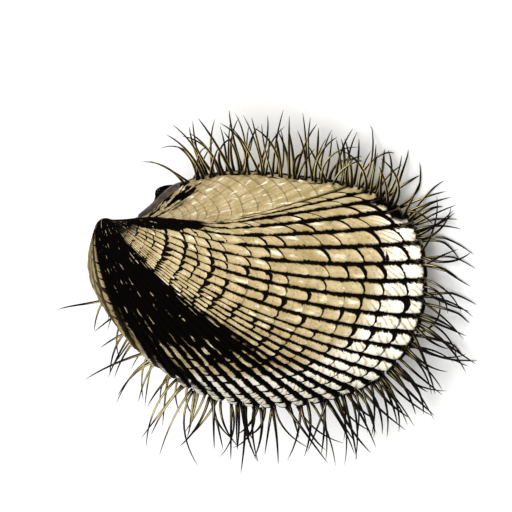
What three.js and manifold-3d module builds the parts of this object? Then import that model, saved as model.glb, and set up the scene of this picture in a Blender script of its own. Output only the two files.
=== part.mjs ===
// A closed cockle shell lying on its right valve: two ribbed valves that mirror each other, the
// horny ligament across their hinge, and a fringe of stiff bristles round the margin of each valve.
// Millimetres, +Z up. The valves are worked out in the shell's own axes: x runs to the hind end,
// y to the hinge side and z out through the left valve, with the valves meeting at z = 0. One
// group then turns the whole shell to the way it lies.
import * as THREE from 'three';
import Module from 'manifold-3d';
import { mergeVertices } from 'three/addons/utils/BufferGeometryUtils.js';

const wasm = await Module();
wasm.setup();

// --- Driving dimensions ---

// The margin of a valve, from the front end over the hinge side to the hind end and back below.
const MARGIN = [
  [-8.5, -10], [-4.5, -6.5], [0, -3.5], [6, 2], [15.5, 5.5], [30, 6.5], [44.5, 5.5], [52.5, 0.5],
  [55, -9.5], [53, -20], [46.5, -29], [33, -36], [18.5, -38.5], [7.5, -36.5], [0.5, -28.5], [-6, -18.5],
];
const BEAK = new THREE.Vector3(-4.4, -4.2, 10); // the point that a valve coils in to
const COIL_AXIS_ANGLE = THREE.MathUtils.degToRad(17); // from x towards y, in the plane z = 0
const COIL_RATE = 1.22; // the margin shrinks to 1 / e ** COIL_RATE as it turns back by one radian
const SMALLEST_RING = 0.03; // size of the last growth ring, at the tip of the beak
const GROWTH_RINGS = 12;
const VALVE_GAP = 0.3; // between the closed valves

const RIB_COUNT = 28;
const RIBBED = { from: 0.3125, to: 0.872 }; // the stretch of the margin that carries ribs
// How far a rib starts at the beak from its place on the margin, towards the hinge side, as pairs
// of a place and a share of the margin. The ribs spread to the front as the shell grows.
const RIB_LEAN = [[0.31, 0], [0.35, 0.03], [0.44, 0], [0.53, 0], [0.67, 0.085], [0.86, 0.1], [1, 0]];
const FURROW_DEPTH = 0.9;
const RIB_PROFILE = [[0, 1], [0.22, 0], [0.8, 0]]; // place across a rib, share of the furrow depth
const SMOOTH_STEPS = { before: 15, after: 6 }; // points along the two smooth stretches

const WALL = 2.2; // across the growth rings
const HOLLOW_POINTS = 40;
const HOLLOW_SIZES = [1, 0.86, 0.74, 0.62, 0.52, 0.44]; // the rings that the hollow keeps to

const FRINGE = {
  from: 0.122, to: 0.94, // the stretch of the margin that has bristles
  steps: 40,
  length: 10.5,
  endLength: 6,
  rampSteps: 5, // over which the bristles grow from endLength to their full length
  gap: 0.3, // between the margin and the roots
  root: 0.35, // height of the roots above the plane between the valves
  splay: 2, // rise from the roots to the tips
  thickness: 0.5,
};

const LIGAMENT = { from: 0.048, to: 0.108, steps: 9, outer: 1.45, inner: 0.75, drop: 0.2, arcSteps: 6 };

const PITCH = THREE.MathUtils.degToRad(19); // the hind end lies lower than the front
const ROLL = THREE.MathUtils.degToRad(-7); // the hinge side lies lower than the open side
const WORN_FLAT = 0.5; // worn off the ribs on which the shell lies
const FLOOR_CLEARANCE = 0.3; // kept by the bristles that bend along the floor

// --- Outline, growth and closed bodies ---

const marginCurve = new THREE.CatmullRomCurve3(
  MARGIN.map(([x, y]) => new THREE.Vector3(x, y, 0)), true, 'centripetal',
);
marginCurve.arcLengthDivisions = 2000;
const centre = marginCurve.getSpacedPoints(64).slice(1)
  .reduce((sum, point) => sum.add(point), new THREE.Vector3()).divideScalar(64);
const coilAxis = new THREE.Vector3(Math.cos(COIL_AXIS_ANGLE), Math.sin(COIL_AXIS_ANGLE), 0);

// Where a point of the margin was when the valve was only `size` times as large.
function grown(point, size) {
  const turn = Math.log(size) / COIL_RATE;
  return point.clone().sub(BEAK).applyAxisAngle(coilAxis, turn).multiplyScalar(size).add(BEAK);
}

// Unit vector that points out of the margin at `place`, in the plane z = 0.
function outwardAt(place) {
  const tangent = marginCurve.getTangentAt(place);
  return new THREE.Vector3(-tangent.y, tangent.x, 0);
}

// A closed body through rings of equal numbers of points, with a fan over each end.
function closedBody(rings) {
  const count = rings[0].length;
  const points = rings.flat();
  const ends = [rings[0], rings.at(-1)].map((ring) => {
    const middle = ring.reduce((sum, point) => sum.add(point), new THREE.Vector3());
    return points.push(middle.divideScalar(count)) - 1;
  });
  const triangles = [];
  for (let i = 0; i < count; i += 1) {
    const next = (i + 1) % count;
    for (let ring = 0; ring < rings.length - 1; ring += 1) {
      const low = ring * count;
      const high = low + count;
      triangles.push([low + i, low + next, high + next], [low + i, high + next, high + i]);
    }
    const last = (rings.length - 1) * count;
    triangles.push([ends[0], next, i], [ends[1], last + i, last + next]);
  }
  const volume = triangles.reduce(
    (sum, [a, b, c]) => sum + points[a].dot(points[b].clone().cross(points[c])), 0,
  );
  const faces = volume > 0 ? triangles : triangles.map(([a, b, c]) => [a, c, b]);
  const geometry = new THREE.BufferGeometry().setFromPoints(points);
  geometry.setIndex(faces.flat());
  return geometry;
}

// The same body on the other side of the plane z = 0.
function mirrored(geometry) {
  const copy = geometry.clone().scale(1, 1, -1);
  const index = Array.from(copy.index.array);
  for (let i = 0; i < index.length; i += 3) {
    [index[i + 1], index[i + 2]] = [index[i + 2], index[i + 1]];
  }
  copy.setIndex(index);
  return copy;
}

function toSolid(geometry) {
  const bare = new THREE.BufferGeometry();
  bare.setAttribute('position', geometry.attributes.position.clone());
  bare.setIndex(geometry.index ? Array.from(geometry.index.array) : null);
  const merged = mergeVertices(bare);
  return new wasm.Manifold(new wasm.Mesh({
    numProp: 3,
    vertProperties: Float32Array.from(merged.attributes.position.array),
    triVerts: Uint32Array.from(merged.index.array),
  }));
}

function toGeometry(solid) {
  const { vertProperties, triVerts } = solid.getMesh();
  const geometry = new THREE.BufferGeometry();
  geometry.setAttribute('position', new THREE.BufferAttribute(vertProperties, 3));
  geometry.setIndex(Array.from(triVerts));
  geometry.computeVertexNormals();
  return geometry;
}

// --- Valves ---

// Places along the margin, each with its share of the furrow depth: none on the smooth stretches.
function marginPlaces() {
  const places = [];
  const smooth = (from, to, steps) => {
    for (let i = 0; i < steps; i += 1) places.push({ place: from + ((to - from) * i) / steps, furrow: 0 });
  };
  smooth(0, RIBBED.from, SMOOTH_STEPS.before);
  const ribWidth = (RIBBED.to - RIBBED.from) / RIB_COUNT;
  for (let rib = 0; rib < RIB_COUNT; rib += 1) {
    for (const [across, furrow] of RIB_PROFILE) {
      places.push({ place: RIBBED.from + (rib + across) * ribWidth, furrow });
    }
  }
  places.push({ place: RIBBED.to, furrow: 1 });
  smooth(RIBBED.to + 0.3 * ribWidth, 1, SMOOTH_STEPS.after);
  return places;
}

// Where on its growth ring the rib from this place on the margin passes.
function leaned(place, size) {
  const next = RIB_LEAN.findIndex(([stop]) => stop > place);
  if (next < 1) return place;
  const [[from, fromLean], [to, toLean]] = RIB_LEAN.slice(next - 1, next + 1);
  const lean = THREE.MathUtils.mapLinear(place, from, to, fromLean, toLean);
  return place - lean * (1 - size ** 2);
}

// The outside of a valve: growth rings from the margin to the beak, with furrows between the ribs.
function valveOutside() {
  const places = marginPlaces();
  const sizeAt = (ring) => SMALLEST_RING ** (ring / GROWTH_RINGS);
  const rings = [];
  for (let ring = 0; ring <= GROWTH_RINGS; ring += 1) {
    const size = sizeAt(ring);
    rings.push(places.map(({ place, furrow }) => {
      const ownPlace = leaned(place, size);
      const edge = marginCurve.getPointAt(ownPlace);
      const point = grown(edge, size);
      const onward = marginCurve.getTangentAt(ownPlace);
      const along = grown(edge.clone().addScaledVector(onward, 0.5), size).sub(point);
      const older = grown(edge, size * 0.98).sub(point);
      const inward = along.cross(older).normalize();
      if (ring === 0) inward.setZ(0).normalize();
      return point.addScaledVector(inward, furrow * FURROW_DEPTH * size);
    }));
  }
  return closedBody(rings);
}

// The room for the animal: the growth rings drawn in by the wall, stopped short of the beak.
function valveHollow() {
  const rings = HOLLOW_SIZES.map((size) => {
    const middle = grown(centre, size);
    return Array.from({ length: HOLLOW_POINTS }, (_, i) => {
      const edge = grown(marginCurve.getPointAt(i / HOLLOW_POINTS), size);
      return edge.add(middle.clone().sub(edge).setLength(WALL));
    });
  });
  const mouth = rings[0].map((point) => point.clone().setZ(-1));
  return closedBody([mouth, ...rings]);
}

const leftSolid = toSolid(valveOutside()).subtract(toSolid(valveHollow())).translate([0, 0, VALVE_GAP / 2]);
const leftValve = toGeometry(leftSolid);

// --- The floor, in the shell's axes ---

const turn = new THREE.Matrix4().makeRotationFromEuler(new THREE.Euler(ROLL, PITCH, 0, 'XYZ'));
const up = new THREE.Vector3(0, 0, 1).transformDirection(turn.clone().invert());
const rightUncut = mirrored(leftValve);
const lowest = Math.min(...Array.from(
  { length: rightUncut.attributes.position.count },
  (_, i) => new THREE.Vector3().fromBufferAttribute(rightUncut.attributes.position, i).dot(up),
));
const floor = new THREE.Plane(up, -(lowest + WORN_FLAT));

const BLOCK = 200; // larger than the shell
const belowFloor = new THREE.BoxGeometry(BLOCK, BLOCK, BLOCK).translate(0, 0, lowest + WORN_FLAT - BLOCK / 2);
belowFloor.deleteAttribute('normal');
belowFloor.deleteAttribute('uv');
belowFloor.applyMatrix4(turn.clone().invert());
const rightValve = toGeometry(toSolid(rightUncut).subtract(toSolid(belowFloor)));

// --- Bristle fringes ---

// One valve's bristles, taken together as a thin band that splays out from the margin.
function fringeBand(side) {
  const clear = (point, height) => {
    const below = FLOOR_CLEARANCE + height - floor.distanceToPoint(point);
    return below > 0 ? point.addScaledVector(up, below) : point;
  };
  const layer = FLOOR_CLEARANCE + FRINGE.thickness; // what one band takes up on the floor
  const sections = [];
  for (let i = 0; i <= FRINGE.steps; i += 1) {
    const place = FRINGE.from + ((FRINGE.to - FRINGE.from) * i) / FRINGE.steps;
    const root = marginCurve.getPointAt(place);
    const outward = outwardAt(place);
    const ramp = Math.min(1, i / FRINGE.rampSteps, (FRINGE.steps - i) / FRINGE.rampSteps);
    const length = THREE.MathUtils.lerp(FRINGE.endLength, FRINGE.length, ramp);
    const at = (share, layerHeight) => {
      const rise = FRINGE.root + FRINGE.splay * share ** 2 + layerHeight;
      const point = root.clone().addScaledVector(outward, FRINGE.gap + length * share);
      const upper = side > 0 ? layerHeight : FRINGE.thickness - layerHeight;
      return clear(point.setZ(side * rise), upper + (side > 0 ? layer : 0));
    };
    sections.push([at(0, 0), at(0.5, 0), at(1, 0), at(1, FRINGE.thickness),
      at(0.5, FRINGE.thickness), at(0, FRINGE.thickness)]);
  }
  return closedBody(sections);
}

// --- Ligament ---

// A band arched over the hinge line behind the beaks, clear of both valves.
function ligamentBand() {
  const sections = [];
  for (let i = 0; i <= LIGAMENT.steps; i += 1) {
    const share = i / LIGAMENT.steps;
    const place = THREE.MathUtils.lerp(LIGAMENT.from, LIGAMENT.to, share);
    const crest = marginCurve.getPointAt(place).addScaledVector(outwardAt(place), -LIGAMENT.drop);
    const thickness = (LIGAMENT.outer - LIGAMENT.inner) * (0.55 + 0.45 * Math.sin(Math.PI * share));
    const arc = (radius, from, to) => Array.from({ length: LIGAMENT.arcSteps + 1 }, (_, k) => {
      const angle = THREE.MathUtils.lerp(from, to, k / LIGAMENT.arcSteps);
      return crest.clone().addScaledVector(outwardAt(place), radius * Math.sin(angle))
        .setZ(radius * Math.cos(angle));
    });
    sections.push([
      ...arc(LIGAMENT.inner + thickness, 0, Math.PI),
      ...arc(LIGAMENT.inner, Math.PI, 0),
    ]);
  }
  return closedBody(sections);
}

// --- The shell ---

function piece(name, geometry, color, roughness) {
  const material = new THREE.MeshStandardMaterial({ color, roughness, metalness: 0, flatShading: true });
  const mesh = new THREE.Mesh(geometry, material);
  mesh.name = name;
  return mesh;
}

const shell = new THREE.Group();
shell.rotation.set(ROLL, PITCH, 0, 'XYZ');
shell.add(
  piece('left_valve', leftValve, 0xd9c491, 0.55),
  piece('right_valve', rightValve, 0xd9c491, 0.55),
  piece('ligament', ligamentBand(), 0x3b2a18, 0.5),
  piece('left_bristle_fringe', fringeBand(1), 0xb09a4c, 0.6),
  piece('right_bristle_fringe', fringeBand(-1), 0xb09a4c, 0.6),
);

// The origin is the middle of the shell's footprint, on the floor.
shell.updateMatrixWorld(true);
const box = new THREE.Box3().setFromObject(shell, true);
const middle = box.getCenter(new THREE.Vector3());
shell.position.set(-middle.x, -middle.y, -box.min.z);

const object = new THREE.Group();
object.add(shell);
object.updateMatrixWorld(true);

export default object;
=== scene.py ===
# The looks of a closed cockle shell that lies on its right valve. Each valve is grown as the
# real one grows: its margin is a ring of points, and every older growth ring is the same ring,
# smaller and turned further about the beak. The bristles stand round the margin of each valve,
# and the ligament arches over the hinge line. The valves are worked out in the shell's own axes,
# x to the hind end, y to the hinge side and z out through the left valve, and are then turned
# to the way that the shell lies. Metres, +Z up.
import math
import random

import bpy
import numpy as np
from mathutils import Matrix, Vector
from mathutils.geometry import interpolate_bezier


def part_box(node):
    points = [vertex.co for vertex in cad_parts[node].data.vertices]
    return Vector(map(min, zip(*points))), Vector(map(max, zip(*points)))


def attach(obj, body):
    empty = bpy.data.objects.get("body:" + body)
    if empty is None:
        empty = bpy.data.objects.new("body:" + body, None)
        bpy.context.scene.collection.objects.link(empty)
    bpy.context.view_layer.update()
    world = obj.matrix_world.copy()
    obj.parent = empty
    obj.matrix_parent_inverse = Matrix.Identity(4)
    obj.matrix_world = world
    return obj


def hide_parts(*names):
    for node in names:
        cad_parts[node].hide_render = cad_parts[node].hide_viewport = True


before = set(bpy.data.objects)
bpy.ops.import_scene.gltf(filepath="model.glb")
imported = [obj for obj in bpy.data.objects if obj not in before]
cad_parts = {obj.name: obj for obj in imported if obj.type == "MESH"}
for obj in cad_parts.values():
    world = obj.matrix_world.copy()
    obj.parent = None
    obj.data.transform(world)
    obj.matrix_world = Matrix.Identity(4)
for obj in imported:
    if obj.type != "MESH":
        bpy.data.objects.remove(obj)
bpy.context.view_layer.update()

MM = 0.001
UP = Vector((0, 0, 1))

# --- The shell's driving dimensions ---

# Corners of a valve's margin in millimetres, from the front end over the hinge side to the
# hind end and back below.
MARGIN_CORNERS = [
    (-8.5, -10), (-4.5, -6.5), (0, -3.5), (6, 2), (15.5, 5.5), (30, 6.5), (44.5, 5.5), (52.5, 0.5),
    (55, -9.5), (53, -20), (46.5, -29), (33, -36), (18.5, -38.5), (7.5, -36.5), (0.5, -28.5),
    (-6, -18.5),
]
MARGIN_STEPS = 48  # between two corners
BEAK = Vector((-4.4, -4.2, 10)) * MM  # the point that a valve coils in to
COIL_AXIS_ANGLE = math.radians(17)  # from x towards y
TO_COIL_AXES = Matrix.Rotation(-COIL_AXIS_ANGLE, 4, "Z")  # x runs along the coil axis there
COIL_RATE = 1.22  # the margin shrinks to 1 / e ** COIL_RATE as it turns back by one radian
VALVE_GAP = 0.3 * MM

RIB_COUNT = 28
RIBS_FROM, RIBS_TO = 0.3125, 0.872  # the stretch of the margin that carries ribs
RIB_WIDTH = (RIBS_TO - RIBS_FROM) / RIB_COUNT
# How far a rib starts at the beak from its place on the margin, towards the hinge side: places
# and shares of the margin. The ribs spread to the front as the shell grows.
RIB_LEAN = [(0.31, 0), (0.35, 0.03), (0.44, 0), (0.53, 0), (0.67, 0.085), (0.86, 0.1), (1, 0)]
FURROW_DEPTH = 1.15 * MM  # at the margin
RIB_PROFILE = [  # place across a rib, share of the furrow depth
    (0, 1), (0.06, 0.8), (0.12, 0.42), (0.2, 0.14), (0.35, 0.03),
    (0.5, 0), (0.65, 0.03), (0.8, 0.14), (0.88, 0.42), (0.94, 0.8),
]
HIND_STEPS, FRONT_STEPS = 44, 4  # points along the smooth stretches behind and before the ribs
FRONT_RIBS = 6  # fainter ones that carry on over the front end
FRONT_RIB_SHARE = 0.4  # of the furrow depth
ALL_RIBS = RIB_COUNT + FRONT_RIBS

RING_COUNT = 150  # evenly spaced, from the margin to the umbo
UMBO_SIZE = 0.16  # of the ring where the umbo starts
UMBO_RINGS = 16
UMBO_SHRINK = 0.9  # from one ring of the umbo to the next
WALL = 3 * MM  # across the growth rings
HOLLOW_SIZES = [  # of the rings of the inner wall
    1, 0.97, 0.93, 0.88, 0.83, 0.78, 0.73, 0.68, 0.63, 0.58, 0.53, 0.48, 0.43, 0.38, 0.33,
]

# Sizes of the rings at which growth paused, from beyond the margin back to the umbo. Two hard
# winters and a milder one left the widest cracks.
GROWTH_HALTS = [
    1.12, 1.06, 1, 0.932, 0.872, 0.818, 0.77, 0.715, 0.66, 0.6, 0.55, 0.49, 0.43, 0.385, 0.345,
    0.305, 0.245, 0.21, 0.185, 0.15, 0.12, 0.09, 0.06, 0.03, -0.6,
]
WINTERS = {0.305: 1.0, 0.345: 1.0, 0.43: 0.8}  # how hard they were, by the size of their ring
HALT_BULGE = 0.006  # by which a halt runs further out on the middle of a rib
HALT_SCATTER = 0.008  # from one rib to the next
SCATTER_ZONES = 9  # from the beak to the margin, each with a scatter of its own
SCATTER_FADE = 1 / 6  # of a rib, over which the scatter dies out towards a furrow
HALT_RAKE = 0.027  # by which it slants across each of the hindmost ribs
RAKED_RIBS, RAKE_FADE = 9, 3  # how many ribs are raked, and over how many the rake fades out
HALT_DRIFT = 0.327  # by which a halt runs further out towards the front, for a whole margin
DRIFT_FROM, DRIFT_NONE, DRIFT_TO = 0.314, 0.454, 0.698  # places where it starts, is 0 and ends
DRIFT_GROWS = 0.35  # of ring size, back from the margin, until the drift is full
HALT_SLANT = 2.06  # the drift of the smooth hind stretch, where halts slant the other way

STEP_HEIGHT = 0.45 * MM
LIP_WIDTH, LIP_FALL = 0.13, 0.8  # where a growth edge stands proudest, and how it sinks from there
LEAST_LIP = 0.1  # the height of a growth edge without any strength
RIB_STEPS = (0.05, 0.75)  # the least and greatest strength of a rib's growth edges
SMOOTH_STEPS = 0.2  # the strength of the edges before and behind the ribs
MARGIN_EASE = 0.02  # of ring size, over which the growth edges die out at the margin
EVEN_BELOW, LOW_BELOW = 1 / 2, 2 / 3  # ring sizes below which the edges are more even and lower
RELIEF = FURROW_DEPTH + STEP_HEIGHT

SCATTER_SEED, STRENGTH_SEED = 5, 11

# Where a valve is fuller than plain growth makes it: by how much, round which place on the margin
# and how far from it, and round which ring size and how far from it.
FULLNESS = {
    "umbo": (1.9 * MM, 0.34, 0.16, 0.22, 0.26),
    "front slope": (2.6 * MM, 0.93, 0.16, 0.5, 0.5),
}

PITCH, ROLL = math.radians(19), math.radians(-7)  # how the shell lies
REST = Matrix.Rotation(ROLL, 4, "X") @ Matrix.Rotation(PITCH, 4, "Y")

# --- Growth ---


def margin_points():
    """The margin as a closed line of points, on a centripetal curve through its corners."""
    corners = [Vector((x, y, 0)) * MM for x, y in MARGIN_CORNERS]
    points = []
    for i in range(len(corners)):
        before, start, end, after = (corners[(i + k) % len(corners)] for k in (-1, 0, 1, 2))
        gap, gap_before, gap_after = (
            math.sqrt((b - a).length) for a, b in ((start, end), (before, start), (end, after))
        )
        along = (end - start) / gap
        leave = (start - before) / gap_before - (end - before) / (gap_before + gap) + along
        arrive = along - (after - start) / (gap + gap_after) + (after - end) / gap_after
        handles = start + leave * gap / 3, end - arrive * gap / 3
        points += interpolate_bezier(start, *handles, end, MARGIN_STEPS + 1)[:-1]
    return points + points[:1]


class Margin:
    """A valve's margin, measured by the share of the way round from the front end."""

    def __init__(self):
        self.points = np.array(margin_points())
        lengths = np.linalg.norm(np.diff(self.points, axis=0), axis=1)
        self.shares = np.append(0, np.cumsum(lengths)) / lengths.sum()

    def at(self, place):
        x, y = (np.interp(place % 1, self.shares, self.points[:, axis]) for axis in (0, 1))
        return Vector((x, y, 0))

    def onward(self, place):
        step = 0.001
        return (self.at(place + step) - self.at(place - step)).normalized()

    def outward(self, place):
        return UP.cross(self.onward(place))


margin = Margin()


def ring_plan():
    """For each point of a growth ring: its place counted in ribs, and its share of the furrow depth."""
    first = -RIBS_FROM / RIB_WIDTH
    last = (1 - RIBS_FROM) / RIB_WIDTH
    plan = [(rib, 0) for rib in np.linspace(first, -0.5, HIND_STEPS, endpoint=False)]
    for rib in range(-1, ALL_RIBS):
        share = 1 if rib <= RIB_COUNT else FRONT_RIB_SHARE
        plan += [(rib + across, depth * share) for across, depth in RIB_PROFILE if -0.5 <= rib + across]
    plan += [(rib, 0) for rib in np.linspace(ALL_RIBS, last, FRONT_STEPS, endpoint=False)]
    return plan


PLAN = ring_plan()
PLACES = np.array([RIBS_FROM + rib * RIB_WIDTH for rib, _ in PLAN])
RINGS = list(np.linspace(1, UMBO_SIZE, RING_COUNT))
RINGS += [UMBO_SIZE * UMBO_SHRINK ** ring for ring in range(1, UMBO_RINGS + 1)]


def select_none():
    if bpy.context.mode != "OBJECT":
        bpy.ops.object.mode_set(mode="OBJECT")
    bpy.ops.object.select_all(action="DESELECT")


def activate(piece):
    select_none()
    piece.select_set(True)
    bpy.context.view_layer.objects.active = piece


def select_vertices(piece, wanted):
    """Edit mode, with only the wanted vertices selected."""
    activate(piece)
    bpy.ops.object.mode_set(mode="EDIT")
    bpy.ops.mesh.select_mode(type="VERT")
    bpy.ops.mesh.select_all(action="DESELECT")
    bpy.ops.object.mode_set(mode="OBJECT")
    piece.data.vertices.foreach_set("select", np.asarray(wanted, bool))
    bpy.ops.object.mode_set(mode="EDIT")


def face_outwards(piece):
    activate(piece)
    bpy.ops.object.mode_set(mode="EDIT")
    bpy.ops.mesh.select_all(action="SELECT")
    bpy.ops.mesh.normals_make_consistent(inside=False)
    bpy.ops.object.mode_set(mode="OBJECT")


def grow(sizes, centre):
    """Extrudes the selected ring on, each new ring smaller and turned further about the beak."""
    for size, older in zip(sizes, sizes[1:]):
        shrink = older / size
        bpy.ops.mesh.extrude_edges_move()
        bpy.ops.transform.resize(value=(shrink, shrink, shrink), center_override=centre)
        bpy.ops.transform.rotate(
            value=-math.log(shrink) / COIL_RATE, orient_axis="X", orient_type="GLOBAL",
            center_override=centre,
        )


def grown_outside():
    """The outside of a valve in the coil's axes, as rings of len(PLAN) points."""
    select_none()
    bpy.ops.mesh.primitive_circle_add(vertices=len(PLAN), radius=30 * MM)
    valve = bpy.context.object
    for vertex, place in zip(valve.data.vertices, PLACES):
        vertex.co = TO_COIL_AXES @ margin.at(place)
    bpy.ops.object.mode_set(mode="EDIT")
    bpy.ops.mesh.select_all(action="SELECT")
    grow(RINGS, TO_COIL_AXES @ BEAK)
    bpy.ops.mesh.select_all(action="SELECT")
    bpy.ops.mesh.flip_normals()
    bpy.ops.object.mode_set(mode="OBJECT")
    return valve


def leaned_places(size):
    """Where the ribs and the points between them pass a ring of this size."""
    return PLACES - np.interp(PLACES, *zip(*RIB_LEAN)) * (1 - size ** 2)


def lean_ribs(valve):
    """Slides the points of each growth ring along it, to where the ribs pass."""
    points = np.zeros(len(RINGS) * len(PLAN) * 3)
    valve.data.vertices.foreach_get("co", points)
    rings = points.reshape(len(RINGS), len(PLAN), 3)
    stops = np.append(PLACES, PLACES[0] + 1)
    for ring, size in zip(rings, RINGS):
        closed = np.vstack([ring, ring[:1]])
        ring[:] = np.stack([np.interp(leaned_places(size), stops, axis) for axis in closed.T], axis=1)
    valve.data.vertices.foreach_set("co", points)


# --- Furrows and growth halts ---


def on_ribs(ribs):
    return (ribs > 0) & (ribs < ALL_RIBS)


def rib_numbers(ribs):
    return np.clip(ribs.astype(int), 0, ALL_RIBS)


def halt_coordinates(ribs, places, sizes):
    """Growth halts counted from the margin, for points of these ribs, places and ring sizes: whole
    numbers lie on a halt. On the ribbed stretch each rib has its own bulging, raked edge."""
    chance = np.random.default_rng(SCATTER_SEED)
    scatter = chance.uniform(-HALT_SCATTER, HALT_SCATTER, (ALL_RIBS + 1, SCATTER_ZONES))
    zone = np.clip(sizes * SCATTER_ZONES, 0, SCATTER_ZONES - 1).astype(int)
    across = ribs % 1
    off_furrow = np.minimum(1, np.minimum(across, 1 - across) / SCATTER_FADE)
    own = scatter[rib_numbers(ribs), zone] * off_furrow
    bulge = HALT_BULGE * (1 - (2 * across - 1) ** 2)
    rake = HALT_RAKE * (across - 0.5) * np.clip((RAKED_RIBS - ribs) / RAKE_FADE, 0, 1)
    uneven = (own + bulge + rake) * np.minimum(1, sizes / EVEN_BELOW)
    uneven = np.where(on_ribs(ribs), uneven, 0)
    drift = HALT_DRIFT * (np.clip(places, DRIFT_FROM, DRIFT_TO) - DRIFT_NONE)
    drift = drift * np.minimum(1, (1 - sizes) / DRIFT_GROWS)
    slant = HALT_SLANT * np.minimum(places - DRIFT_FROM, 0)
    shifted = sizes - uneven - drift + slant
    return np.interp(-shifted, -np.array(GROWTH_HALTS), np.arange(len(GROWTH_HALTS)))


def step_heights(ribs, halts, sizes):
    """How proud the surface stands, from 0 to 1: each growth edge overhangs the younger shell."""
    chance = np.random.default_rng(STRENGTH_SEED)
    strengths = chance.uniform(*RIB_STEPS, (len(GROWTH_HALTS), ALL_RIBS + 1))
    cell = np.clip(halts.astype(int), 0, len(GROWTH_HALTS) - 1)
    own = np.where(on_ribs(ribs), strengths[cell, rib_numbers(ribs)], SMOOTH_STEPS)
    share = halts - np.floor(halts)
    lip = np.clip(share / LIP_WIDTH, 0, 1) * (1 - share) ** LIP_FALL
    off_margin = np.clip((1 - sizes) / MARGIN_EASE, 0, 1)
    height = lip * (LEAST_LIP + (1 - LEAST_LIP) * own)
    return height * off_margin * np.minimum(1, sizes / LOW_BELOW)


def winter_hardness(halts):
    cell = halts.astype(int)
    return sum(hardness * (cell == GROWTH_HALTS.index(size)) for size, hardness in WINTERS.items())


def hump(values, middle, reach):
    """1 at the middle, falling smoothly to 0 at this reach on both sides."""
    return np.clip(1 - ((values - middle) / reach) ** 2, 0, 1) ** 2


def displace(piece, name, shares, distance):
    """Moves the surface out along its normals by a share of the distance at each point."""
    least = 0.001
    group = piece.vertex_groups.new(name=name)
    for index in np.flatnonzero(shares > least):
        group.add([int(index)], float(shares[index]), "REPLACE")
    modifier = piece.modifiers.new(name, "DISPLACE")
    modifier.vertex_group = group.name
    modifier.mid_level = 0
    modifier.strength = distance
    activate(piece)
    bpy.ops.object.modifier_apply(modifier=modifier.name)
    piece.vertex_groups.clear()


def keep_map(mesh, name, across, along, turn):
    """Keeps two values of the points as a map. The first grows by a turn round a ring, and it runs
    on past the ring's last point to the first."""
    corners = np.zeros(len(mesh.loops), np.int32)
    mesh.loops.foreach_get("vertex_index", corners)
    across = across[corners].reshape(-1, 4)
    wrapped = (across.max(axis=1, keepdims=True) - across) > turn / 2
    pairs = np.stack([(across + wrapped * turn).ravel(), along[corners]], axis=1)
    mesh.uv_layers.new(name=name).data.foreach_set("uv", pairs.ravel())


def carve_growth(valve):
    """Fills out the umbo and the front slope, and raises the ribs and the growth edges between the
    furrows. Keeps what the shell's finish reads: the maps "growth", in ribs and halts, and "ring",
    in places and ring sizes, and how hard the winter was."""
    ribs = np.tile([rib for rib, _ in PLAN], len(RINGS))
    depths = np.tile([depth for _, depth in PLAN], len(RINGS))
    sizes = np.repeat(RINGS, len(PLAN))
    leaned = [leaned_places(size) for size in RINGS]
    places = np.concatenate(leaned)
    room = np.concatenate([np.gradient(ring, PLACES) for ring in leaned])
    depths = depths * np.minimum(room, 1)  # shallower where the lean crowds the ribs
    halts = halt_coordinates(ribs, places, sizes)
    winters = valve.data.attributes.new("winter", "FLOAT", "POINT")
    winters.data.foreach_set("value", winter_hardness(halts).astype(np.float32))
    keep_map(valve.data, "growth", ribs, halts, 1 / RIB_WIDTH)
    keep_map(valve.data, "ring", places, sizes, 1)
    for name, (distance, place, place_reach, size, size_reach) in FULLNESS.items():
        from_place = (places - place + 0.5) % 1 - 0.5
        full = hump(from_place, 0, place_reach) * hump(sizes, size, size_reach)
        displace(valve, name, full, distance)
    # The smooth surface sinks to the floor of the furrows, and the ribs and edges rise from it.
    displace(valve, "furrow floor", sizes ** 2, -FURROW_DEPTH)
    relief = FURROW_DEPTH * sizes ** 2 * (1 - depths) + STEP_HEIGHT * step_heights(ribs, halts, sizes)
    displace(valve, "ribs and growth edges", relief / RELIEF, RELIEF)
    # The margin stays flat, so that the valves meet all round it.
    select_vertices(valve, np.arange(len(valve.data.vertices)) < len(PLAN))
    bpy.ops.transform.resize(value=(1, 1, 0), center_override=(0, 0, 0))
    bpy.ops.object.mode_set(mode="OBJECT")


def close_beak(valve):
    """Draws the smallest ring together to a point."""
    count = len(valve.data.vertices)
    select_vertices(valve, np.arange(count) >= count - len(PLAN))
    bpy.ops.mesh.merge(type="CENTER")
    bpy.ops.object.mode_set(mode="OBJECT")
    face_outwards(valve)


def grow_inner_wall(valve):
    """Carries the valve on over the thickness of its margin, and back to a point inside the beak."""
    ring = len(PLAN)
    select_vertices(valve, np.arange(len(valve.data.vertices)) < ring)
    bpy.ops.mesh.extrude_edges_move()
    bpy.ops.object.mode_set(mode="OBJECT")
    for vertex, place in zip(valve.data.vertices[-ring:], PLACES):
        vertex.co = TO_COIL_AXES @ (margin.at(place) - margin.outward(place) * WALL)
    bpy.ops.object.mode_set(mode="EDIT")
    grow(HOLLOW_SIZES, TO_COIL_AXES @ BEAK)
    bpy.ops.mesh.merge(type="CENTER")
    bpy.ops.object.mode_set(mode="OBJECT")


def build_left_valve():
    valve = grown_outside()
    lean_ribs(valve)
    carve_growth(valve)
    close_beak(valve)
    outside_faces = len(valve.data.polygons)
    grow_inner_wall(valve)
    for finish in (shell_surface(), shell_inside(), horn("margin horn")):
        valve.data.materials.append(finish)
    for face in valve.data.polygons[outside_faces:]:
        on_margin = face.index < outside_faces + len(PLAN)
        face.material_index = 2 if on_margin else 1
    activate(valve)
    bpy.ops.object.shade_smooth()
    valve.data.transform(Matrix.Translation((0, 0, VALVE_GAP / 2)) @ TO_COIL_AXES.inverted())
    valve.name = "left_valve_grown"
    return valve


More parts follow.
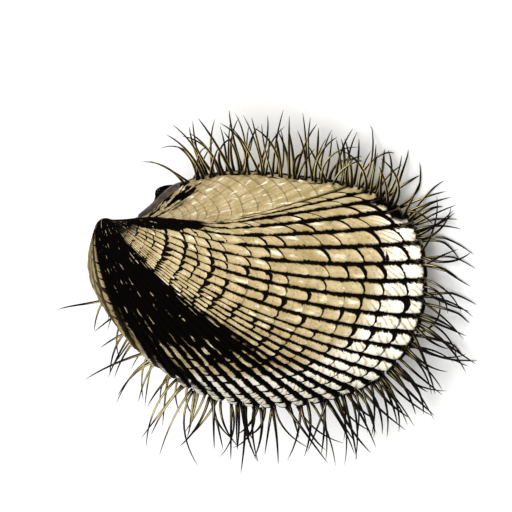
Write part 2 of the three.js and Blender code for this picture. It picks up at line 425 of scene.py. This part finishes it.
def build_right_valve(left):
    activate(left)
    bpy.ops.object.duplicate()
    valve = bpy.context.object
    valve.name = "right_valve_grown"
    valve.scale.z = -1
    bpy.ops.object.transform_apply(location=False, rotation=False, scale=True)
    face_outwards(valve)
    return valve


def wear_flat(valve):
    """Wears the ribs flat where the shell lies on the floor."""
    heights = np.array([vertex.co.z for vertex in valve.data.vertices])
    select_vertices(valve, heights < 0)
    bpy.ops.transform.resize(value=(1, 1, 0), center_override=(0, 0, 0))
    bpy.ops.object.mode_set(mode="OBJECT")


# --- Ligament ---

LIGAMENT_FROM, LIGAMENT_TO = 0.046, 0.110  # places along the margin
LIGAMENT_RADIUS = 1.5 * MM
LIGAMENT_STEPS = 24
LIGAMENT_SIDES = 28
LIGAMENT_TIP = 0.06  # how much of its swelling is cut off at each end
LIGAMENT_FLATNESS, LIGAMENT_SINK = 0.8, 0.25  # of its girth, outwards and inwards
FIBRES, FIBRE_DEPTH, FIBRE_TWIST = 9, 0.045, 5  # ridges round it, and radians of their twist


def ligament_ring(share):
    """The points round the band at this share of the way along it."""
    place = LIGAMENT_FROM + (LIGAMENT_TO - LIGAMENT_FROM) * share
    swelling = LIGAMENT_TIP + (1 - 2 * LIGAMENT_TIP) * share
    girth = LIGAMENT_RADIUS * math.sin(math.pi * swelling) ** 0.5
    points = []
    for side in range(LIGAMENT_SIDES):
        angle = math.tau * side / LIGAMENT_SIDES
        reach = girth * (1 + FIBRE_DEPTH * math.cos(FIBRES * angle + FIBRE_TWIST * share))
        outward = margin.outward(place) * (LIGAMENT_FLATNESS * math.sin(angle) - LIGAMENT_SINK)
        points.append(margin.at(place) + reach * (outward + math.cos(angle) * UP))
    return points


def build_ligament():
    """A horny band swollen over the hinge line: a ring drawn along it, with ribbed fibres."""
    select_none()
    bpy.ops.mesh.primitive_circle_add(vertices=LIGAMENT_SIDES, radius=1, fill_type="NGON")
    band = bpy.context.object
    rings = [ligament_ring(step / LIGAMENT_STEPS) for step in range(LIGAMENT_STEPS + 1)]
    bpy.ops.object.mode_set(mode="EDIT")
    bpy.ops.mesh.select_all(action="SELECT")
    for _ in range(LIGAMENT_STEPS):
        bpy.ops.mesh.extrude_region_move()
    bpy.ops.object.mode_set(mode="OBJECT")
    for vertex, point in zip(band.data.vertices, [point for ring in rings for point in ring]):
        vertex.co = point
    band.name = "ligament_band"
    band.data.materials.append(horn("ligament horn"))
    face_outwards(band)
    bpy.ops.object.shade_smooth()
    return band


# --- Bristles ---

BRISTLES_FROM, BRISTLES_TO = 0.116, 0.945  # the stretch of the margin that carries them
BRISTLE_COUNT = 135  # places for them on each valve
BRISTLE_GAPS = 0.3  # the share of these places left empty; fewer are towards the hinge side
BRISTLE_LENGTH = 12 * MM
LENGTHS = (0.72, 1.12)  # shares of it, from the shortest bristle to the longest
END_LENGTH = 0.8  # the share of it at both ends of the fringe
END_STRETCH = 0.05  # of the margin, from an end to where bristles have their full length
HINGE_SHORTER, FRONT_LONGER = 0.12, 0.3  # shares taken off over the hinge side, added in front
BRISTLE_RADIUS = 0.31 * MM  # at the root
THICKNESSES = (0.75, 1.15)  # shares of the radius, from the thinnest bristle to the thickest
BRISTLE_POINTS = 13
BRISTLE_TAPER = 0.5  # below 1, a bristle keeps its thickness until near the tip
TIP_THICKNESS = 0.08  # share of the radius
ROOT_DEPTH = 0.35 * MM  # inside the margin
ROOT_HEIGHTS = (0.35 * MM, 1.0 * MM)  # above the plane where the valves meet
LEAN_SPREAD = 0.24  # radians along the margin, of a bristle at its root
CURL_SPREAD, CURL_BACK = 0.75, 0.7  # radians from root to tip, and the share of the lean undone
SPLAYS = (0.02, 0.42)  # radians away from the other valve, at the root
LIFT_SPREAD = 0.3  # radians more of it, or less, at the tip
DROOP, FRONT_DROOP = 0.25, 1.1  # of the tips towards the open side, in general and at the front
FLOOR_CLEARANCE = 0.14 * MM
CAP_SEAM = 0.002 * MM  # between a bristle's side and its end cap
LEFT_SEED, RIGHT_SEED = 21, 22


def bristle_length(place):
    """Shorter at the ends of the fringe and over the hinge side, and longer at the front."""
    from_end = min(1, min(place - BRISTLES_FROM, BRISTLES_TO - place) / END_STRETCH)
    outward = margin.outward(place)
    reach = 1 - HINGE_SHORTER * max(0, outward.y) + FRONT_LONGER * max(0, -outward.x)
    return BRISTLE_LENGTH * (END_LENGTH + (1 - END_LENGTH) * from_end) * reach


def taper(share):
    """The thickness that is left at this share of the way from root to tip."""
    return (1 - share) ** BRISTLE_TAPER


def bristle_line(place, side, chance, placement):
    """Points along one bristle, from its root inside the margin to its tip."""
    outward, onward = margin.outward(place), margin.onward(place)
    lean = chance.gauss(0, LEAN_SPREAD)
    curl = chance.gauss(0, CURL_SPREAD) - CURL_BACK * lean
    splay = chance.uniform(*SPLAYS)
    lift = chance.gauss(0, LIFT_SPREAD)
    length = bristle_length(place) * chance.uniform(*LENGTHS)
    point = margin.at(place) - outward * ROOT_DEPTH
    point.z = side * (VALVE_GAP / 2 + chance.uniform(*ROOT_HEIGHTS))
    droop = DROOP * (1 - outward.y) / 2 + FRONT_DROOP * max(0, -outward.x)
    sag = Vector((0, -droop, 0))
    points = []
    for step in range(BRISTLE_POINTS):
        share = step / (BRISTLE_POINTS - 1)
        placed = placement @ point
        placed.z = max(placed.z, BRISTLE_RADIUS * taper(share) + FLOOR_CLEARANCE)
        points.append(placed)
        angle = lean + curl * share
        rise = splay + lift * share
        heading = outward * math.cos(angle) + onward * math.sin(angle) + sag * share
        heading = heading.normalized() * math.cos(rise) + UP * side * math.sin(rise)
        point = point + heading * length / (BRISTLE_POINTS - 1)
    return points


def add_bristle(curve, line, thickness):
    spline = curve.splines.new("POLY")
    spline.points.add(len(line) - 1)
    for step, (knot, point) in enumerate(zip(spline.points, line)):
        knot.co = (*point, 1)
        knot.radius = thickness * max(TIP_THICKNESS, taper(step / (BRISTLE_POINTS - 1)))


def build_fringe(name, side, seed, placement):
    """One valve's bristles: tapered round curves, made one mesh."""
    chance = random.Random(seed)
    curve = bpy.data.curves.new(name, "CURVE")
    curve.dimensions = "3D"
    curve.bevel_depth = BRISTLE_RADIUS
    curve.bevel_resolution = 1
    curve.use_fill_caps = True
    curve.twist_mode = "Z_UP"
    for bristle in range(BRISTLE_COUNT):
        share = (bristle + chance.uniform(0, 1)) / BRISTLE_COUNT
        place = BRISTLES_FROM + (BRISTLES_TO - BRISTLES_FROM) * share
        if chance.random() < BRISTLE_GAPS * (1 - max(0, margin.outward(place).y)):
            continue
        line = bristle_line(place, side, chance, placement)
        add_bristle(curve, line, chance.uniform(*THICKNESSES))
    fringe = bpy.data.objects.new(name, curve)
    bpy.context.collection.objects.link(fringe)
    activate(fringe)
    bpy.ops.object.convert(target="MESH")
    fringe = bpy.context.object
    select_vertices(fringe, np.ones(len(fringe.data.vertices)))
    bpy.ops.mesh.remove_doubles(threshold=CAP_SEAM)
    bpy.ops.object.mode_set(mode="OBJECT")
    face_outwards(fringe)
    bpy.ops.object.shade_smooth()
    fringe.data.materials.clear()
    fringe.data.materials.append(bristle_horn())
    return fringe


# --- Finishes ---


class Value:
    """A shader output that takes part in plain arithmetic."""

    def __init__(self, finish, socket):
        self.finish = finish
        self.socket = socket

    def other(self, name):
        """Another output of the same node."""
        return Value(self.finish, self.socket.node.outputs[name])

    def _math(self, operation, first, second=0.0):
        return self.finish.node("ShaderNodeMath", {"operation": operation}, {0: first, 1: second})

    def __add__(self, other):
        return self._math("ADD", self, other)

    __radd__ = __add__

    def __sub__(self, other):
        return self._math("SUBTRACT", self, other)

    def __rsub__(self, other):
        return self._math("SUBTRACT", other, self)

    def __mul__(self, other):
        return self._math("MULTIPLY", self, other)

    __rmul__ = __mul__

    def __abs__(self):
        return self._math("ABSOLUTE", self)

    def fraction(self):
        return self._math("FRACT", self)

    def floor(self):
        return self._math("FLOOR", self)

    def at_least(self, other):
        return self._math("MAXIMUM", self, other)

    def rise(self, low, high):
        """0 below low, 1 above high, and a smooth step between them."""
        return self.finish.node(
            "ShaderNodeMapRange", {"interpolation_type": "SMOOTHSTEP"},
            {"Value": self, "From Min": low, "From Max": high},
        )

    def fall(self, low, high):
        return 1 - self.rise(low, high)


class Finish:
    """A procedural material under construction."""

    def __init__(self, name):
        self.material = bpy.data.materials.new(name)
        self.material.use_nodes = True
        self.tree = self.material.node_tree
        self.tree.nodes.clear()
        self.shader = self.node("ShaderNodeBsdfPrincipled")
        self.node("ShaderNodeOutputMaterial", inputs={"Surface": self.shader})
        self.point_on_object = self.node("ShaderNodeTexCoord").other("Object")

    def node(self, kind, settings=None, inputs=None):
        """The first output of a new node, given its settings and what its inputs are linked or
        set to."""
        node = self.tree.nodes.new(kind)
        for name, value in (settings or {}).items():
            setattr(node, name, value)
        for name, value in (inputs or {}).items():
            if isinstance(value, Value):
                self.tree.links.new(value.socket, node.inputs[name])
            else:
                node.inputs[name].default_value = value
        enabled = [output for output in node.outputs if output.enabled]
        return Value(self, enabled[0] if enabled else None)

    def noise(self, scale, detail, vector=None):
        return self.node("ShaderNodeTexNoise", None, {
            "Vector": vector or self.point_on_object, "Scale": scale, "Detail": detail,
            "Roughness": 0.55,
        })

    def point(self, x, y, z=0.0):
        return self.node("ShaderNodeCombineXYZ", None, {"X": x, "Y": y, "Z": z})

    def first_two(self, vector):
        """The first two parts of a vector."""
        parts = self.node("ShaderNodeSeparateXYZ", None, {0: vector})
        return parts, parts.other("Y")

    def in_map(self, name):
        """The two values that this map of the piece keeps."""
        return self.first_two(self.node("ShaderNodeUVMap", {"uv_map": name}))

    def mix(self, share, first, second):
        """first where share is 0 and second where it is 1. Colours are RGB triples or links."""
        ends = [(*end, 1.0) if isinstance(end, tuple) else end for end in (first, second)]
        node = self.node("ShaderNodeMix", {"data_type": "RGBA"}, {0: share, 6: ends[0], 7: ends[1]})
        return Value(self, node.socket.node.outputs[2])

    def put(self, **inputs):
        """Sets the shader's own sockets, with _ for a space in their names."""
        node = self.shader.socket.node
        for name, value in inputs.items():
            socket = node.inputs[name.replace("_", " ")]
            if isinstance(value, Value):
                self.tree.links.new(value.socket, socket)
            else:
                socket.default_value = (*value, 1.0) if isinstance(value, tuple) else value

    def bump(self, height, depth, strength):
        inputs = {"Height": height, "Distance": depth, "Strength": strength}
        self.put(Normal=self.node("ShaderNodeBump", None, inputs))


# Colours, in linear light.
CREAM = (0.51, 0.425, 0.25)
OLIVE_TAN = (0.27, 0.205, 0.09)
WARM_TAN = (0.43, 0.305, 0.16)
# Painted highlights on the crests and the smooth stretches:
PAINTED_HIGHLIGHT_PALE = (0.85, 0.80, 0.64)
NEWEST = (0.76, 0.73, 0.64)
OLIVE_BROWN = (0.13, 0.092, 0.036)
HATCH_TAN = (0.36, 0.28, 0.12)
# Painted shade in the furrows and under the growth edges:
FURROW_SHADE_BROWN = (0.003, 0.002, 0.0012)
# The crust, with painted shade over the umbo and front slope, and the dark rim:
CRUST_AND_SHADE_BROWN = (0.0014, 0.001, 0.0007)
INSIDE_WHITE, INSIDE_BUFF = (0.84, 0.8, 0.72), (0.78, 0.68, 0.55)
HORN_BLACK, HORN_BROWN, HORN_BUFF = (0.012, 0.008, 0.005), (0.09, 0.05, 0.022), (0.25, 0.16, 0.07)
STRAW, DARK_STRAW, BRISTLE_BLACK = (0.66, 0.55, 0.27), (0.36, 0.26, 0.09), (0.003, 0.002, 0.001)
PAPER, PAPER_GRAIN = (0.93, 0.93, 0.925), (0.96, 0.96, 0.955)

BROAD, MEDIUM, FINE, SPECKS = 95, 420, 1700, 2600  # noise patches to the metre

# Where on the margin a look of the shell sets in, as the places where it starts and is full.
HINGE_FROM, HINGE_TO = (0.05, 0.08), (0.15, 0.19)
HINDMOST_RIBS_TO = (0.35, 0.43)
LOWER_FROM = (0.36, 0.50)
FRONT_FROM = (0.53, 0.63)
FRONT_BAND_FROM = (0.785, 0.812)
FRONT_END_FROM = (0.79, 0.90)

# The same between the beak and the margin, in ring sizes.
UMBO_TO = (0.3, 0.55)
YOUNG_TO = (0.45, 0.7)
ROUNDED_FROM = (0.35, 0.65)
OUTER_FROM = (0.80, 0.90)
HATCH_FROM = (0.79, 0.87)
NEWEST_FROM = (0.90, 0.97)
MARGIN_FROM = (0.965, 1.0)
RIM_FROM = (0.985, 0.992)


class ShellFinish(Finish):
    """The outside of a valve, which knows how the shell grew at each point."""

    def __init__(self):
        super().__init__("shell surface")
        self.rib, self.halt = self.in_map("growth")
        self.place, self.size = self.in_map("ring")
        self.winter = self.node("ShaderNodeAttribute", {"attribute_name": "winter"}).other("Fac")
        self.fine = self.noise(FINE, 4)
        self.medium = self.noise(MEDIUM, 4)
        self.ragged = self.fine - 0.5
        self.uneven = self.medium - 0.5

        # Across a rib, from the furrow on its hinge side to the next one, and then 0 in both furrows
        # and 1 on the crest. Along it, 0 at a growth edge and 1 at the next older one.
        self.from_hinge = self.rib.fraction()
        self.across = 1 - abs(self.from_hinge * 2 - 1)
        self.along = self.halt.fraction()
        cell_number = self.point(self.rib.floor(), self.halt.floor())
        self.cell = self.node(
            "ShaderNodeTexWhiteNoise", {"noise_dimensions": "2D"}, {"Vector": cell_number},
        )
        self.streaks = self.along_ribs(1.7, 0.8, 3)

        # Where the surface has ribs, and the band and the wider end of the valve before them.
        self.ribbed = self.rib.rise(-0.25, 0.0) * self.rib.fall(ALL_RIBS - 0.25, ALL_RIBS)
        from_front = self.place + self.uneven * 0.035
        self.front_band = from_front.rise(*FRONT_BAND_FROM)
        self.front_end = from_front.rise(*FRONT_END_FROM)

    def along_ribs(self, across, along, detail, layer=0.0):
        """Noise with its own pace across the ribs and from halt to halt. Each layer is a pattern
        of its own."""
        return self.noise(1.0, detail, self.point(self.rib * across, self.halt * along, layer))

    def along_rings(self, across, along, detail, layer=0.0):
        """Noise with its own pace across the ribs and from the beak to the margin."""
        return self.noise(1.0, detail, self.point(self.rib * across, self.size * along, layer))


def furrows_and_cracks(shell):
    """Painted shade in the furrows between the ribs and in the cracks under the growth edges; the
    cracks also mark where growth paused.
    """
    outer = shell.size.rise(*OUTER_FROM)
    cracked = (shell.cell + shell.winter + outer * 0.4).rise(0.22, 0.5)

    # Furrows are wider below, over the front, beside the hindmost ribs and at the margin, and
    # narrower on the umbo. Their walls are uneven and toothed.
    front = shell.place.rise(*FRONT_FROM)
    width = 0.18 + 0.1 * shell.place.rise(*LOWER_FROM) + 0.2 * front
    width = width + shell.uneven * (0.4 + 0.6 * shell.size.fall(*YOUNG_TO))
    width = width - 0.07 * shell.size.fall(*UMBO_TO) + 0.08 * front * shell.size.fall(0.8, 0.92)
    width = width + 0.2 * shell.size.rise(*MARGIN_FROM)
    width = width + (0.16 + 0.5 * shell.uneven) * shell.place.fall(*HINDMOST_RIBS_TO)
    corners = shell.along.rise(0.75, 1.0) * cracked + shell.along.fall(0.0, 0.12)
    corners = corners * 0.17 * shell.size.rise(*ROUNDED_FROM)
    teeth = shell.along_ribs(2.5, 12.0, 2) - 0.5
    wall = shell.across + shell.ragged * 0.3 + teeth * 0.45 - width - corners
    furrow = wall.fall(-0.07, 0.07) * shell.ribbed

    # A crack is a wedge, widest on the hinge side of its rib.
    wedge = 1.7 - 1.35 * shell.from_hinge
    crack_width = 0.04 + shell.cell.rise(0.3, 1.0) * 0.15 + shell.winter * 0.15 + outer * 0.03
    crack = (shell.along + crack_width * wedge + shell.ragged * 0.16).rise(0.96, 1.0)
    crack = crack * cracked * (0.25 + 0.75 * shell.ribbed)
    return furrow.at_least(crack) * (1 - shell.front_end * 0.62)


def weathered_shell_with_painted_light(shell):
    """Weathered cream and tan, with each growth cell a little different, painted shade towards each
    cell's older edge and down the rib flanks, and painted highlights on the crests.
    """
    broad = shell.noise(BROAD, 2)
    colour = shell.mix((broad * 0.5 + shell.medium * 0.7).rise(0.42, 0.78), CREAM, OLIVE_TAN)
    colour = shell.mix(shell.cell * 0.5, colour, WARM_TAN)
    # Painted shade: each cell darker towards the older growth edge that overhangs it, and each rib
    # darker down its flanks towards the furrows.
    colour = shell.mix(shell.along.rise(0.3, 1.0) * 0.5 * shell.ribbed, colour, OLIVE_TAN)
    colour = shell.mix((1 - shell.across).rise(0.35, 0.8) * 0.5 * shell.ribbed, colour, OLIVE_TAN)
    grain = shell.along_ribs(5.0, 1.6, 3).rise(0.46, 0.66)
    colour = shell.mix(grain * 0.42, colour, OLIVE_TAN)
    specks = shell.noise(SPECKS, 2).rise(0.55, 0.72)
    colour = shell.mix(specks * (0.4 + 0.5 * shell.medium), colour, OLIVE_BROWN)
    from_line = abs(shell.along - 0.45 - shell.uneven * 0.3) + shell.ragged * 0.04
    hairline = from_line.fall(0.0, 0.045) * shell.ribbed * shell.cell.rise(0.3, 0.7)
    colour = shell.mix(hairline * 0.6, colour, OLIVE_BROWN)
    # Painted highlight: pale streaks on the crests, just behind each growth edge.
    painted_highlight = shell.streaks.rise(0.55, 0.70) * shell.along.fall(0.3, 0.9) * shell.across.rise(0.2, 0.6)
    return shell.mix(painted_highlight * 0.75, colour, PAINTED_HIGHLIGHT_PALE)


def add_newest_shell(shell, colour):
    """The newest shell is nearly white, with thin brown lines slanting over it."""
    newest = (shell.size + shell.rib * 0.009 + shell.uneven * 0.04).rise(*NEWEST_FROM)
    newest = newest * shell.rib.rise(1.5, 4.0) * (1 - shell.front_end)
    slanting = ((shell.rib * 0.75 + shell.halt) * 2.6 + shell.medium * 1.4).fraction()
    scored = shell.along_ribs(1.3, 1.3, 2, layer=9.0).rise(0.40, 0.52) * shell.size.rise(*HATCH_FROM)
    hatch = abs(slanting - 0.5).fall(0.08, 0.24) * scored * shell.ribbed
    colour = shell.mix(newest * 0.9, colour, NEWEST)
    return shell.mix(hatch * (0.5 + 0.8 * shell.fine), colour, HATCH_TAN)


def add_smooth_stretches(shell, colour):
    """The smooth stretches carry lines lengthwise and growth lines, with painted highlights (pale
    glints) between.
    """
    smooth = 1 - shell.ribbed
    striae = shell.along_rings(2.6, 2.0, 3).rise(0.45, 0.66)
    painted_glints = shell.along_rings(1.8, 13.0, 2, layer=7.0).rise(0.60, 0.70)
    growth_lines = (shell.along + shell.ragged * 0.1).rise(0.86, 0.97)
    colour = shell.mix(smooth * (0.05 + striae * 0.85), colour, OLIVE_TAN)
    colour = shell.mix(smooth * growth_lines * 0.5, colour, OLIVE_BROWN)
    # Painted highlights: pale dashes along the growth lines.
    colour = shell.mix(smooth * painted_glints * 0.75, colour, PAINTED_HIGHLIGHT_PALE)
    return shell.mix(shell.front_band * (0.2 + 0.5 * shell.medium), colour, OLIVE_TAN)


def crust_and_painted_shade(shell):
    """Crust and painted shade of the umbo and the front slope, in one near-black, frayed along the ribs
    where it ends, and worn through here and there on the crests."""
    # On the front slope the crust and painted shade lie between a slanting top border and an end short
    # of the margin, and run on along the edge of the slope.
    frayed = (shell.streaks - 0.5) * 0.7 + (shell.across - 0.5) * 0.16
    top = shell.place - shell.size * 0.073 + shell.uneven * 0.04 - frayed * 0.07
    end = shell.size + shell.place * 1.3 + shell.uneven * 0.25 + frayed
    edge = shell.place.rise(0.742, 0.752) * (shell.size + shell.uneven * 0.3).fall(0.78, 0.95)
    slope = (top.rise(0.543, 0.555) * end.fall(1.52, 1.61)).at_least(edge) * (1 - shell.front_band)

    # Crust and painted shade cover the umbo, and reach further out along the first ribs.
    first_ribs = (shell.rib + shell.size * 10 + shell.uneven * 2.5).fall(7.2, 8.0)
    umbo_size = 0.15 + 0.25 * shell.place.rise(0.16, 0.26) * first_ribs
    umbo = (shell.size - umbo_size + shell.uneven * 0.10).fall(-0.02, 0.03)

    worn = shell.along_ribs(1.1, 0.8, 2, layer=3.0).rise(0.58, 0.62) * shell.across.rise(0.72, 0.92)
    return slope.at_least(umbo) * (1 - worn * 0.85)


def hinge_marks(shell):
    """Dark patches behind the ligament, dashes along the hinge margin, and the dark hind corner."""
    hinge = shell.place.rise(*HINGE_FROM) * shell.place.fall(*HINGE_TO)
    patches = (shell.along_rings(1.6, 6.0, 3, layer=5.0) + hinge * 0.2).rise(0.66, 0.72) * hinge
    dashes = shell.along_rings(0.9, 40.0, 2, layer=11.0).rise(0.53, 0.57)
    dashes = dashes * shell.size.rise(0.93, 0.955) * shell.rib.fall(-0.5, 0.0)
    corner_rib = shell.rib + shell.uneven
    corner = corner_rib.rise(1.9, 2.2) * corner_rib.fall(3.5, 3.9)
    corner = corner * (shell.size + shell.uneven * 0.08).rise(0.942, 0.957)
    return patches.at_least(dashes).at_least(corner)


def shell_surface():
    shell = ShellFinish()
    furrow_and_crack_shade = furrows_and_cracks(shell)
    crust_and_shade = crust_and_painted_shade(shell).at_least(hinge_marks(shell))
    rim = (shell.size + shell.ragged * 0.012).rise(*RIM_FROM)
    colour = add_newest_shell(shell, weathered_shell_with_painted_light(shell))
    colour = add_smooth_stretches(shell, colour)
    # Painted shade: the furrows and the cracks under the growth edges, near black.
    colour = shell.mix(furrow_and_crack_shade, colour, FURROW_SHADE_BROWN)
    # Painted shade over the umbo and front slope, with the crust, the hinge marks and the dark rim, in
    # one near-black brown.
    colour = shell.mix(crust_and_shade.at_least(rim), colour, CRUST_AND_SHADE_BROWN)
    roughness = 0.52 + 0.2 * shell.medium + 0.2 * furrow_and_crack_shade.at_least(crust_and_shade)
    shell.put(Base_Color=colour, Roughness=roughness, Specular_IOR_Level=0.01)
    growth_lines = shell.along_ribs(0.5, 9.0, 2)
    shell.bump(shell.fine * 0.4 + growth_lines * 0.5 - furrow_and_crack_shade * 0.6, 0.25 * MM, 0.7)
    return shell.material


def shell_inside():
    finish = Finish("shell inside")
    cloud = finish.noise(60, 3)
    finish.put(Base_Color=finish.mix(cloud.rise(0.35, 0.7), INSIDE_WHITE, INSIDE_BUFF), Roughness=0.3)
    return finish.material


def horn(name):
    finish = Finish(name)
    fibres = finish.noise(900, 4)
    patches = finish.noise(250, 3)
    colour = finish.mix(fibres.rise(0.4, 0.65), HORN_BLACK, HORN_BROWN)
    colour = finish.mix(patches.rise(0.55, 0.75) * 0.6, colour, HORN_BUFF)
    finish.put(Base_Color=colour, Roughness=0.45 + 0.2 * fibres)
    finish.bump(fibres, 0.2 * MM, 0.6)
    return finish.material


def bristle_horn():
    """Near black, with straw showing down the middle of the bristles. More of it shows on the
    hinge side and at the front end."""
    finish = Finish("bristle horn")
    along, around = finish.in_map("UVMap")
    x, y = finish.first_two(finish.point_on_object)
    strawy = y.rise(0.012, 0.026).at_least(x.fall(-0.022, -0.008))
    strand = finish.noise(170, 1)
    fine = finish.noise(1300, 3)
    straw = finish.mix(strand.rise(0.4, 0.62), STRAW, DARK_STRAW)
    sides = abs((around * 2 + 0.5).fraction() * 2 - 1) + (fine - 0.5) * 0.4 + 0.14 - 0.3 * strawy
    tip = (along + (strand - 0.5) * 0.9 + 0.2 - 0.4 * strawy).rise(0.2, 0.6)
    root = along.fall(0.0, 0.2)
    colour = finish.mix(sides.rise(0.16, 0.36), straw, BRISTLE_BLACK)
    colour = finish.mix(tip.at_least(root), colour, BRISTLE_BLACK)
    finish.put(Base_Color=colour, Roughness=0.5 + 0.2 * fine, Specular_IOR_Level=0.05)
    finish.bump(fine, 0.08 * MM, 0.5)
    return finish.material


def floor_paper():
    finish = Finish("floor paper")
    finish.put(Base_Color=finish.mix(finish.noise(700, 3), PAPER, PAPER_GRAIN), Roughness=0.9)
    return finish.material


# --- Studio ---

VIEW_TURN, VIEW_TILT = math.radians(26), math.radians(17)  # of the camera, off the shell's z axis
VIEW_CENTRE = (19.08, -11.88, 8)  # along the camera's right, up and backward axes, in millimetres
VIEW_WIDTH = 92.16 * MM
LENS, SENSOR = 300, 36
CAMERA_CLIP = (0.05, 10)
LIT_POINT = Vector((0, 0, 15 * MM))  # the point that the lamps face
KEY_DIRECTION = (0.42, 0.5, 0.85)  # along the camera's right, up and backward axes
FILL_DIRECTION = Vector((0.2, 0.1, 1))
DAYLIGHT = 0.72
FLOOR_SIZE, FLOOR_DROP = 3, 0.05 * MM


def view_axes():
    """The camera's right, up and backward directions in the shell's axes."""
    right = Vector((math.cos(VIEW_TURN), 0, -math.sin(VIEW_TURN)))
    back = Vector((
        math.sin(VIEW_TURN) * math.cos(VIEW_TILT), math.sin(VIEW_TILT),
        math.cos(VIEW_TURN) * math.cos(VIEW_TILT),
    ))
    return right, back.cross(right), back


def in_view(amounts):
    return sum((axis * amount for axis, amount in zip(view_axes(), amounts)), Vector())


def place_camera(placement):
    data = bpy.data.cameras.new("camera")
    data.lens, data.sensor_width = LENS, SENSOR
    camera = bpy.data.objects.new("camera", data)
    bpy.context.collection.objects.link(camera)
    bpy.context.scene.camera = camera
    data.clip_start, data.clip_end = CAMERA_CLIP
    distance = VIEW_WIDTH * LENS / SENSOR
    point = in_view(VIEW_CENTRE) * MM + view_axes()[2] * distance
    axes = Matrix(view_axes()).transposed().to_4x4()
    camera.matrix_world = placement @ Matrix.Translation(point) @ axes


def place_light(name, direction, distance, size, power):
    """A soft square lamp that faces the shell from this direction in the frame."""
    data = bpy.data.lights.new(name, "AREA")
    data.size, data.energy = size, power
    lamp = bpy.data.objects.new(name, data)
    bpy.context.collection.objects.link(lamp)
    direction = direction.normalized()
    lamp.location = LIT_POINT + direction * distance
    lamp.rotation_euler = direction.to_track_quat("Z", "Y").to_euler()


def build_daylight():
    world = bpy.data.worlds.new("studio")
    world.use_nodes = True
    sky = world.node_tree.nodes["Background"]
    sky.inputs["Color"].default_value = (1, 1, 1, 1)
    sky.inputs["Strength"].default_value = DAYLIGHT
    bpy.context.scene.world = world
    bpy.context.scene.view_settings.view_transform = "Standard"


def build_floor():
    select_none()
    bpy.ops.mesh.primitive_grid_add(
        x_subdivisions=8, y_subdivisions=8, size=FLOOR_SIZE, location=(0, 0, -FLOOR_DROP),
    )
    floor = bpy.context.object
    floor.name = "floor"
    bpy.ops.object.transform_apply(location=True)
    floor.data.materials.append(floor_paper())


def build_studio(placement):
    place_camera(placement)
    key_direction = placement.to_3x3() @ in_view(KEY_DIRECTION)
    place_light("key", key_direction, distance=0.6, size=0.26, power=4.5)
    place_light("fill", FILL_DIRECTION, distance=0.8, size=0.7, power=4.0)
    build_daylight()
    build_floor()


# --- The shell as it lies ---


def middle_of(points):
    corners = np.array(points)
    return Vector((corners.min(axis=0) + corners.max(axis=0)) / 2)


def main():
    left = build_left_valve()
    right = build_right_valve(left)
    low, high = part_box("left_valve")
    turned = [REST @ vertex.co for vertex in left.data.vertices]
    placement = Matrix.Translation((low + high) / 2 - middle_of(turned)) @ REST
    ligament = build_ligament()
    for piece in (left, right, ligament):
        piece.data.transform(placement)
    wear_flat(right)
    left_fringe = build_fringe("left_bristles", 1, LEFT_SEED, placement)
    right_fringe = build_fringe("right_bristles", -1, RIGHT_SEED, placement)
    kept = [
        (left, "left_valve", "shell_wall"), (right, "right_valve", "shell_wall"),
        (ligament, "ligament", "ligament_horn"),
        (left_fringe, "left_bristle_fringe", "bristle_horn"),
        (right_fringe, "right_bristle_fringe", "bristle_horn"),
    ]
    for piece, node, slot in kept:
        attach(piece, "root")
        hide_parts(node)
    build_studio(placement)
    select_none()


main()
